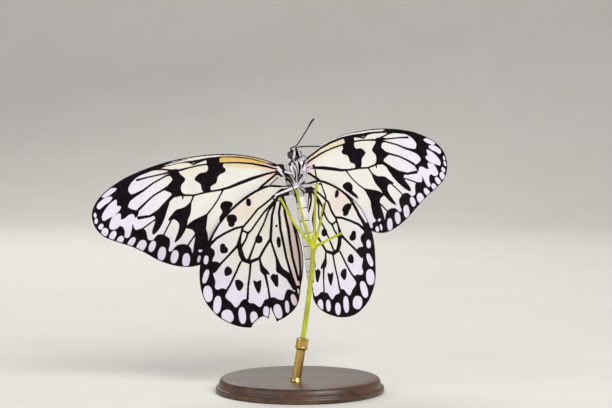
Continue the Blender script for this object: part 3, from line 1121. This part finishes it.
def mark(tree, name):
    """The value of a mark stored on the mesh."""
    return add_node(tree, "Attribute", attribute_name=name).outputs["Fac"]


def blend(tree, factor, one, two):
    """One colour turning into another by a factor."""
    made = add_node(tree, "Mix", {0: factor}, data_type="RGBA", clamp_factor=True)
    for index, value in ((6, one), (7, two)):
        if isinstance(value, bpy.types.NodeSocket):
            tree.links.new(value, made.inputs[index])
        else:
            made.inputs[index].default_value = (*value[:3], 1.0)
    return made.outputs[2]


def noise(tree, place, size, detail=2.0, stretch=None):
    """Noise whose features are about size millimetres."""
    if stretch:
        place = add_node(tree, "Mapping", {"Vector": place, "Scale": stretch}).outputs[0]
    return add_node(tree, "TexNoise", {"Vector": place, "Scale": 1.0 / size, "Detail": detail}).outputs["Fac"]


def ramp(tree, value, low, high, start=0.0, end=1.0):
    """A smooth slope from start to end as value goes from low to high."""
    return add_node(tree, "MapRange", {"Value": value, "From Min": low, "From Max": high, "To Min": start,
                                       "To Max": end}, interpolation_type="SMOOTHSTEP").outputs[0]


def sums(tree, operation, one, two):
    """One calculation with two values."""
    return add_node(tree, "Math", {0: one, 1: two}, operation=operation).outputs[0]


def bump(tree, shader, height, strength, distance):
    """Raises the surface by a height, with distance in millimetres."""
    made = add_node(tree, "Bump", {"Height": height, "Strength": strength, "Distance": distance * MM})
    tree.links.new(made.outputs[0], shader.inputs["Normal"])


def wire(tree, shader, **values):
    """Links values to inputs of the shader, which are named with underscores for spaces."""
    for key, value in values.items():
        tree.links.new(value, shader.inputs[key.replace("_", " ")])


def cream_white(tree, place, settings):
    """The warm white of the pale wing scales."""
    return blend(tree, noise(tree, place, 5.0), linear(CREAM_SHADE), settings.wing_pale)


def ink_mask(tree, place, edge):
    """Where the dark scales are, with the slightly ragged edge that rows of scales give."""
    rough = sums(tree, "MULTIPLY", sums(tree, "SUBTRACT", noise(tree, place, 0.35, 1.0), 0.5), 0.14)
    return ramp(tree, sums(tree, "ADD", mark(tree, "ink"), rough), -edge, edge)


def wing_material(settings):
    """Membrane under powdery scales: matt, pale and faintly lavender, nearly black on the marks."""
    made, tree, shader, place = new_material("wing membrane with powdery scales", 0.62, IOR=1.5)
    warm = cream_white(tree, place, settings)
    cool = blend(tree, noise(tree, place, 3.0), linear("#ddd6ea"), linear("#efeaf6"))
    pale = blend(tree, mark(tree, "cool"), warm, cool)
    pale = blend(tree, mark(tree, "blush"), pale, linear(BLUSH_TINT))
    pale = blend(tree, mark(tree, "yellow"), pale, settings.wing_yellow)
    speckle = ramp(tree, noise(tree, place, 0.22, 1.0), 0.35, 0.75, 0.0, 0.1)
    pale = blend(tree, speckle, pale, linear("#a39a98"))
    dark = blend(tree, ramp(tree, noise(tree, place, 2.4), 0.35, 0.7), settings.wing_dark, linear("#180e15"))
    mask = ink_mask(tree, place, 0.07)
    wire(tree, shader, Base_Color=blend(tree, mask, pale, dark),
         Roughness=ramp(tree, mask, 0.0, 1.0, 0.66, 0.5),
         Specular_IOR_Level=ramp(tree, mask, 0.0, 1.0, 0.4, 0.08))
    # Real scales are about 0.1 mm long; these are drawn at 0.2 mm so that they show
    scales = add_node(tree, "TexVoronoi", {"Vector": place, "Scale": 5.0}).outputs["Distance"]
    folds = noise(tree, place, 1.6)
    bump(tree, shader, sums(tree, "ADD", sums(tree, "MULTIPLY", scales, 0.25), folds), 0.35, 0.12)
    return made


def body_material(settings, name, strength):
    """Soft hair and scales over the body: matt white and nearly black, with a faint sheen along the hairs."""
    made, tree, shader, place = new_material(name, 0.72, IOR=1.5, Specular_IOR_Level=0.25)
    pale = blend(tree, noise(tree, place, 1.2), linear("#e9e4e6"), settings.body_pale)
    pale = blend(tree, mark(tree, "cream"), pale, cream_white(tree, place, settings))
    pale = blend(tree, mark(tree, "blush"), pale, linear(BLUSH_TINT))
    dark = blend(tree, noise(tree, place, 0.8), settings.wing_dark, linear("#1c1218"))
    wire(tree, shader, Base_Color=blend(tree, ink_mask(tree, place, 0.05), pale, dark))
    hairs = noise(tree, place, 0.12, stretch=(1.0, 1.0, 0.22))
    bump(tree, shader, hairs, strength, 0.12)
    return made


def eye_material(settings):
    """The eye's many small facets under a smooth surface: dark plum brown with small, clear lights."""
    made, tree, shader, place = new_material("faceted eye", 0.22, IOR=1.5, Coat_Weight=0.6,
                                             Coat_Roughness=0.08)
    tint = blend(tree, ramp(tree, noise(tree, place, 0.9), 0.3, 0.7), settings.eye_dark, linear("#3a2838"))
    # Real facets are about 0.025 mm wide; these are drawn at 0.09 mm
    facets = add_node(tree, "TexVoronoi", {"Vector": place, "Scale": 11.0}).outputs["Distance"]
    wire(tree, shader, Base_Color=blend(tree, ramp(tree, facets, 0.2, 0.7), tint, linear("#08060a")))
    bump(tree, shader, facets, 0.5, 0.03)
    return made


def cuticle_material(settings):
    """Bare cuticle, hard and slightly polished: nearly black with a soft gloss and a fine grain."""
    made, tree, shader, place = new_material("polished dark cuticle", 0.4, IOR=1.55, Specular_IOR_Level=0.3)
    tint = blend(tree, noise(tree, place, 0.7), settings.wing_dark, linear("#1a1217"))
    wire(tree, shader, Base_Color=tint, Roughness=ramp(tree, noise(tree, place, 0.4), 0.3, 0.7, 0.3, 0.48))
    bump(tree, shader, noise(tree, place, 0.09, 3.0), 0.4, 0.03)
    return made


def proboscis_material(settings):
    """Bare cuticle of the sucking tube: black at the head and lavender grey below, with fine cross rings."""
    made, tree, shader, place = new_material("lavender cuticle", 0.34, IOR=1.5)
    tint = blend(tree, noise(tree, place, 0.6), linear("#7d74a4"), linear("#a9a1cb"))
    mask = ramp(tree, mark(tree, "ink"), -0.4, 0.4)
    wire(tree, shader, Base_Color=blend(tree, mask, tint, settings.wing_dark))
    rings = add_node(tree, "TexWave", {"Vector": place, "Scale": 2.6, "Distortion": 0.6}, bands_direction="Z")
    bump(tree, shader, rings.outputs["Fac"], 0.35, 0.03)
    return made


def stalk_material(settings):
    """Living green stalk with a thin waxy skin: yellow green, streaked lengthwise, with a soft gloss."""
    made, tree, shader, place = new_material("waxy green stalk", 0.42, IOR=1.45, Subsurface_Weight=0.15,
                                             Subsurface_Radius=(0.0008, 0.001, 0.0003))
    streaks = ramp(tree, noise(tree, place, 0.5, 3.0, (1.0, 1.0, 0.12)), 0.3, 0.7)
    green = blend(tree, streaks, settings.stalk_green, linear("#a3b022"))
    green = blend(tree, ramp(tree, noise(tree, place, 9.0), 0.42, 0.62), green, linear("#a7a81d"))
    cut = blend(tree, noise(tree, place, 0.3), linear("#cfd79a"), linear("#b6bd6a"))
    wire(tree, shader, Base_Color=blend(tree, mark(tree, "cut"), green, cut))
    bump(tree, shader, streaks, 0.3, 0.08)
    return made


def wood_material(settings):
    """Turned hardwood under a satin varnish: dark brown with long fine grain and a soft, broad gloss."""
    made, tree, shader, place = new_material("turned walnut with satin varnish", 0.42, IOR=1.5,
                                             Coat_Weight=0.2, Coat_Roughness=0.3)
    # Growth rings of 1 to 4 mm, cut lengthwise, so they run as long uneven streaks
    wide = noise(tree, place, 4.5, 1.0, (0.05, 1.0, 0.6))
    close = noise(tree, place, 1.1, 3.0, (0.04, 1.0, 0.6))
    grain = ramp(tree, sums(tree, "ADD", wide, close), 0.75, 1.25)
    pores = noise(tree, place, 0.45, stretch=(0.05, 1.0, 1.0))
    tint = blend(tree, grain, settings.stand_wood, linear("#5d3d29"))
    tint = blend(tree, ramp(tree, pores, 0.55, 0.72, 0.0, 0.6), tint, linear("#1c100a"))
    wire(tree, shader, Base_Color=tint)
    bump(tree, shader, pores, 0.25, 0.06)
    return made


def brass_material():
    """Turned brass, brushed round the rod: warm yellow metal with fine rings and a softened reflection."""
    made, tree, shader, place = new_material("brushed brass", 0.3, 1.0)
    tint = blend(tree, noise(tree, place, 6.0), linear("#d2b06a"), linear("#c4a05a"))
    rings = noise(tree, place, 0.25, stretch=(0.1, 0.1, 1.0))
    wire(tree, shader, Base_Color=tint, Roughness=ramp(tree, rings, 0.3, 0.7, 0.3, 0.38))
    bump(tree, shader, rings, 0.05, 0.02)
    return made


def length(name, description, usual, low, high):
    """A setting that is a length in metres."""
    return bpy.props.FloatProperty(name=name, description=description, default=usual, min=low, max=high,
                                   precision=5, subtype="DISTANCE", unit="LENGTH")


def colour(name, description, usual):
    """A setting that is a colour, given by its usual hex code."""
    return bpy.props.FloatVectorProperty(name=name, description=description, default=linear(usual), min=0.0,
                                         max=1.0, size=3, subtype="COLOR")


class ButterflySettings(bpy.types.PropertyGroup):
    """Sizes and colours of the butterfly and its stand."""

    mesh_step: length("Wing mesh step", "Distance between the points of a wing's mesh", 0.00034, 0.0002,
                      0.002)
    wing_thickness: length("Wing thickness", "Thickness of a wing between its veins", 0.00022, 0.0001, 0.001)
    vein_height: length("Vein height", "How far a vein stands out on each face of a wing", 0.00014, 0.0,
                        0.0005)
    wing_pale: colour("Wing pale", "Pale scales of the wings", "#f0ede4")
    wing_dark: colour("Wing dark", "Dark scales of the wings", "#0b060a")
    wing_yellow: colour("Wing yellow", "Yellow scales by the front edge of the forewings", "#dbb036")
    hair_length: length("Hair length", "Typical length of the hair on the thorax", HAIR_LENGTH, 0.0002, 0.003)
    body_pale: colour("Body pale", "Pale hair of the body", "#f6f3f4")
    eye_dark: colour("Eye", "Dark colour of the eyes", "#22151f")
    stalk_green: colour("Stalk", "Yellow green of the stalk", "#d8da1c")
    stand_wood: colour("Stand wood", "Darker colour of the stand's wood", "#3a2317")


class BUTTERFLY_OT_wings(bpy.types.Operator):
    """Builds the four wings"""

    bl_idname = "butterfly.wings"
    bl_label = "Wings"

    def execute(self, context):
        settings = context.scene.butterfly
        skin = wing_material(settings)
        for kind in WINGS:
            for side, name in SIDES.items():
                thing = make_piece(f"{kind}_{name}_scaled", wing_piece(kind, side, settings), skin, angle=60)
                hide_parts(f"{kind}_{name}")
        return {"FINISHED"}


class BUTTERFLY_OT_body(bpy.types.Operator):
    """Builds the skin of the head, thorax and abdomen, and its hair"""

    bl_idname = "butterfly.body"
    bl_label = "Body and hair"

    def execute(self, context):
        settings = context.scene.butterfly
        skin = make_piece("body_skin", body_piece(), body_material(settings, "scaled skin of the body", 0.5))
        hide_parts("head", "thorax", "abdomen")
        coat = make_piece("body_hair", body_coat(settings), body_material(settings, "hair of the body", 0.2))
        return {"FINISHED"}


class BUTTERFLY_OT_head(bpy.types.Operator):
    """Builds the eyes, palps and proboscis"""

    bl_idname = "butterfly.head"
    bl_label = "Eyes, palps and proboscis"

    def execute(self, context):
        settings = context.scene.butterfly
        eye_skin = eye_material(settings)
        palp_skin = body_material(settings, "bristly scales of the palps", 0.3)
        for side, name in SIDES.items():
            eye = make_piece(f"eye_{name}_faceted", (*ball_piece(eye_centre(side), EYE_RADII), {}), eye_skin)
            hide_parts(f"eye_{name}")
            rings = np.array(palp_rings(side))
            line = (rings - rings.mean(axis=1)[:, None])[:, :, 0] * -side - 0.12
            ink = np.concatenate((line.ravel(), (0.3, 0.3)))
            hairs = line_coat(rings, 0.08, 0.97, 900, 0.34, 0.035, line, 31 + side)
            palp = make_piece(f"palp_{name}_scaled", (*ring_piece(rings), {"ink": ink}), palp_skin)
            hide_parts(f"palp_{name}")
            bristles = make_piece(f"palp_{name}_bristles", hairs, palp_skin)
        start, out = head_surface((0.0, -0.9, -0.75))
        way = [UNPOSE @ from_photo(*p) for p in PROBOSCIS]
        path = smooth_line([start - out * 0.2, start + out * 1.1] + way, LIMB_STEP)
        rings = tube_rings(*rounded(path, spread(PROBOSCIS_SIZES, len(path))), PROBOSCIS_SIDES)
        line = np.repeat(0.45 - np.linspace(0.0, 1.0, len(rings)) * 1.2, PROBOSCIS_SIDES)
        ink = np.concatenate((line, (0.5, -0.5)))
        skin = proboscis_material(settings)
        tube = make_piece("proboscis_ringed", (*ring_piece(rings), {"ink": ink}), skin)
        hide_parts("proboscis")
        return {"FINISHED"}


class BUTTERFLY_OT_antennae(bpy.types.Operator):
    """Builds the two feelers"""

    bl_idname = "butterfly.antennae"
    bl_label = "Antennae"

    def execute(self, context):
        skin = cuticle_material(context.scene.butterfly)
        for side, name in SIDES.items():
            feeler = make_piece(f"antenna_{name}_jointed", (*ring_piece(antenna_rings(side)), {}), skin)
            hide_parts(f"antenna_{name}")
        return {"FINISHED"}


class BUTTERFLY_OT_legs(bpy.types.Operator):
    """Builds the four walking legs and the two short front legs"""

    bl_idname = "butterfly.legs"
    bl_label = "Legs"

    def execute(self, context):
        skin = body_material(context.scene.butterfly, "scaled skin of the legs", 0.3)
        for name in LEGS:
            rings, share, toe, off, run = leg_rings(name)
            rows, sides = len(rings), len(rings[0])
            below = (np.arange(rows) / rows - share * 0.86) * 8.0
            line = np.maximum(below[:, None], np.cos(turns(sides)) - 0.72)
            ink = np.concatenate((line.ravel(), (-0.5, 0.5)))
            hairs = line_coat(rings, share * 0.5, 0.95, 170, 0.3, 0.022, line, 41)
            shape = join([(*ring_piece(rings), {"ink": ink}), *claws(toe, off, run)])
            leg = make_piece(f"{name}_scaled", shape, skin)
            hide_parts(name)
            bristles = make_piece(f"{name}_bristles", hairs, skin)
        for side, name in SIDES.items():
            rings = foreleg_rings(side)
            line = np.tile(np.cos(turns(len(rings[0]))) * -side - 0.55, (len(rings), 1))
            ink = np.concatenate((line.ravel(), (-0.5, -0.5)))
            hairs = line_coat(rings, 0.1, 0.9, 380, 0.34, 0.035, line, 51 + side)
            leg = make_piece(f"foreleg_{name}_scaled", (*ring_piece(rings), {"ink": ink}), skin)
            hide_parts(f"foreleg_{name}")
            bristles = make_piece(f"foreleg_{name}_bristles", hairs, skin)
        return {"FINISHED"}


class BUTTERFLY_OT_perch(bpy.types.Operator):
    """Builds the cut stalk and the stubs of its side stems"""

    bl_idname = "butterfly.perch"
    bl_label = "Stalk"

    def execute(self, context):
        main_path = smooth_line([from_photo(*p) for p in STALK_PATH], 0.8)
        rings = tube_rings(main_path, spread(STALK_RADIUS, len(main_path)), 28)
        pieces = [(*ring_piece(rings), {"cut": 0.0})]
        points, faces, unwrap = ball_piece(main_path[0], (KNOT_RADIUS,) * 3, 20, 32)
        lumps, height = KNOT_LUMPS
        middle = np.array(main_path[0])
        points = points - middle
        waves = np.sin(np.arctan2(points[:, 1], points[:, 0]) * lumps)
        points = middle + points * (1.0 - height + height * waves)[:, None]
        pieces.append((points, faces, unwrap, {"cut": 0.0}))
        for bend, tip in STEMLETS.values():
            path = smooth_line([main_path[0], from_photo(*bend), from_photo(*tip)], 0.5)
            rings = tube_rings(path, spread(STEMLET_SIZES, len(path)), STEMLET_SIDES)
            last = np.array(rings[-1])
            run = np.array((path[-1] - path[-2]).normalized())
            middle = last.mean(axis=0)
            rings += [middle + (last - middle) * inset - run * back
                      for inset, back in ((0.85, 0.0), (0.6, 0.1))]
            points, faces, unwrap = ring_piece(rings)
            cut = np.zeros(len(points))
            cut[len(path) * STEMLET_SIDES:] = 1.0
            cut[-2] = 0.0
            pieces.append((points, faces, unwrap, {"cut": cut}))
        stalk = make_piece("cut_stalk", join(pieces), stalk_material(context.scene.butterfly), False, 50)
        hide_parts("perch_stem")
        return {"FINISHED"}


class BUTTERFLY_OT_stand(bpy.types.Operator):
    """Builds the round wooden base and the brass rod"""

    bl_idname = "butterfly.stand"
    bl_label = "Stand"

    def execute(self, context):
        settings = context.scene.butterfly
        top, inset = BASE_STEP_HEIGHT, BASE_STEP_INSET
        profile = [(BASE_RADIUS - 1.2, 0.0), (BASE_RADIUS - 0.4, 0.15), (BASE_RADIUS, 0.5),
                   (BASE_RADIUS, 1.5), (BASE_RADIUS - 0.25, 1.9), (BASE_RADIUS - 0.9, 2.05),
                   (BASE_RADIUS - inset, top)]
        profile += [(BASE_RADIUS - inset - BASE_ROUNDING * (1.0 - math.cos(a)),
                     top + (BASE_HEIGHT - top) * math.sin(a)) for a in quarter(10)]
        profile += [(BASE_RADIUS - 6.0, BASE_HEIGHT), (BASE_RADIUS * 0.4, BASE_HEIGHT), (2.0, BASE_HEIGHT)]
        rings = [[(r * math.cos(a), r * math.sin(a), z) for a in turns(160)] for r, z in profile]
        base = make_piece("stand_base_turned", (*ring_piece(rings), {}), wood_material(settings), False, 30)
        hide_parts("stand_base")
        path = smooth_line([from_photo(*p) for p in STALK_PATH], 3.0)
        way = (path[-1] - path[-2]).normalized()
        top = path[-1] + way * GAP
        foot = top + way * ((top.z - BASE_HEIGHT) / -way.z)
        cup, wide = ROD_CUP_HEIGHT, ROD_CUP_RADIUS
        shape = ((0.35, wide * 0.62), (0.35, wide * 0.78), (0.05, wide * 0.9), (0.12, wide),
                 (0.5, wide * 1.02), (0.62, wide * 0.96), (cup - 1.2, wide * 0.96),
                 (cup - 1.0, wide * 1.02), (cup - 0.6, wide * 1.02), (cup - 0.3, wide * 0.9),
                 (cup, ROD_RADIUS * 1.04), (cup + 0.4, ROD_RADIUS))
        line = [top + way * along for along, _ in shape]
        line += [foot - way * along for along in (1.4, 0.8, 0.1)]
        size = [radius for _, radius in shape] + [ROD_RADIUS, ROD_RADIUS * 1.25, ROD_RADIUS * 1.4]
        rings = []
        side = way.cross(Vector((0.0, 1.0, 0.0))).normalized()
        through = way.cross(side)
        for point, radius in zip(line, size):
            ring = [point + side * radius * math.cos(a) + through * radius * math.sin(a) for a in turns(64)]
            rings.append([(p.x, p.y, max(p.z, BASE_HEIGHT)) for p in ring])
        rod = make_piece("stand_rod_brushed", (*ring_piece(rings), {}), brass_material(), False, 30)
        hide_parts("stand_rod")
        return {"FINISHED"}


class BUTTERFLY_OT_stage(bpy.types.Operator):
    """Sets the pale floor, the soft light and the camera"""

    bl_idname = "butterfly.stage"
    bl_label = "Floor, light and camera"

    def execute(self, context):
        make_stage(context.scene)
        return {"FINISHED"}


def make_stage(scene):
    """A pale floor that curves up far behind, three soft panels of light, a pale sky and the camera."""
    made, tree, shader, place = new_material("matt studio paper", 0.9)
    tint = blend(tree, noise(tree, place, 60.0), linear("#dedbd4"), linear("#e6e3dd"))
    wire(tree, shader, Base_Color=tint)
    profile = [(FLOOR_FRONT, 0.0), (FLOOR_BACK, 0.0)]
    profile += [(FLOOR_BACK + FLOOR_CURVE * math.sin(a), FLOOR_CURVE - FLOOR_CURVE * math.cos(a))
                for a in quarter(16)]
    profile += [(FLOOR_BACK + FLOOR_CURVE, WALL_TOP)]
    points = [(x, y, z) for y, z in profile for x in (-FLOOR_HALF_WIDTH, FLOOR_HALF_WIDTH)]
    faces = [(2 * i, 2 * i + 1, 2 * i + 3, 2 * i + 2) for i in range(len(profile) - 1)]
    mesh = bpy.data.meshes.new("studio_floor")
    mesh.from_pydata(points, [], faces)
    mesh.materials.append(made)
    mesh.shade_smooth()
    floor = bpy.data.objects.new("studio_floor", mesh)
    scene.collection.objects.link(floor)

    for name, spot, size, power in PANELS:
        light = bpy.data.lights.new(name, "AREA")
        light.size = size
        light.energy = power
        thing = bpy.data.objects.new(name, light)
        thing.location = spot
        thing.rotation_euler = (AIM - Vector(spot)).to_track_quat("-Z", "Y").to_euler()
        scene.collection.objects.link(thing)

    world = bpy.data.worlds.new("pale_studio")
    world.use_nodes = True
    sky = world.node_tree.nodes["Background"]
    sky.inputs["Color"].default_value = (*linear("#f1f2f4"), 1.0)
    sky.inputs["Strength"].default_value = SKY_STRENGTH
    scene.world = world
    scene.view_settings.view_transform = "Standard"

    tilt = math.radians(CAMERA_TILT)
    view = Vector((0.0, math.cos(tilt), -math.sin(tilt)))
    away = CAMERA_LENS / CAMERA_SENSOR * PHOTO_WIDTH * PHOTO_MM_PER_PIXEL
    data = bpy.data.cameras.new("photo_camera")
    data.lens = CAMERA_LENS
    data.sensor_width = CAMERA_SENSOR
    data.clip_start = 0.01
    camera = bpy.data.objects.new("photo_camera", data)
    camera.location = (from_photo(*PHOTO_MIDDLE_PIXEL, 0.0) - view * away) * MM
    camera.rotation_euler = (math.pi / 2 - tilt, 0.0, 0.0)
    scene.collection.objects.link(camera)
    scene.camera = camera


class BUTTERFLY_PT_panel(bpy.types.Panel):
    """Lists the pieces of the butterfly"""

    bl_idname = "BUTTERFLY_PT_panel"
    bl_label = "Paper kite butterfly"
    bl_space_type = "VIEW_3D"
    bl_region_type = "UI"
    bl_category = "Butterfly"

    def draw(self, context):
        settings = context.scene.butterfly
        for key in settings.__annotations__:
            self.layout.prop(settings, key)
        for operator in OPERATORS:
            self.layout.operator(operator.bl_idname)


OPERATORS = (BUTTERFLY_OT_wings, BUTTERFLY_OT_body, BUTTERFLY_OT_head, BUTTERFLY_OT_antennae,
             BUTTERFLY_OT_legs, BUTTERFLY_OT_perch, BUTTERFLY_OT_stand, BUTTERFLY_OT_stage)
CLASSES = (ButterflySettings, *OPERATORS, BUTTERFLY_PT_panel)


def register():
    for made in CLASSES:
        bpy.utils.register_class(made)
    bpy.types.Scene.butterfly = bpy.props.PointerProperty(type=ButterflySettings)


def unregister():
    del bpy.types.Scene.butterfly
    for made in reversed(CLASSES):
        bpy.utils.unregister_class(made)


def main():
    """Builds every piece in order."""
    register()
    bpy.ops.butterfly.wings()
    bpy.ops.butterfly.body()
    bpy.ops.butterfly.head()
    bpy.ops.butterfly.antennae()
    bpy.ops.butterfly.legs()
    bpy.ops.butterfly.perch()
    bpy.ops.butterfly.stand()
    bpy.ops.butterfly.stage()


if __name__ == "__main__":
    main()
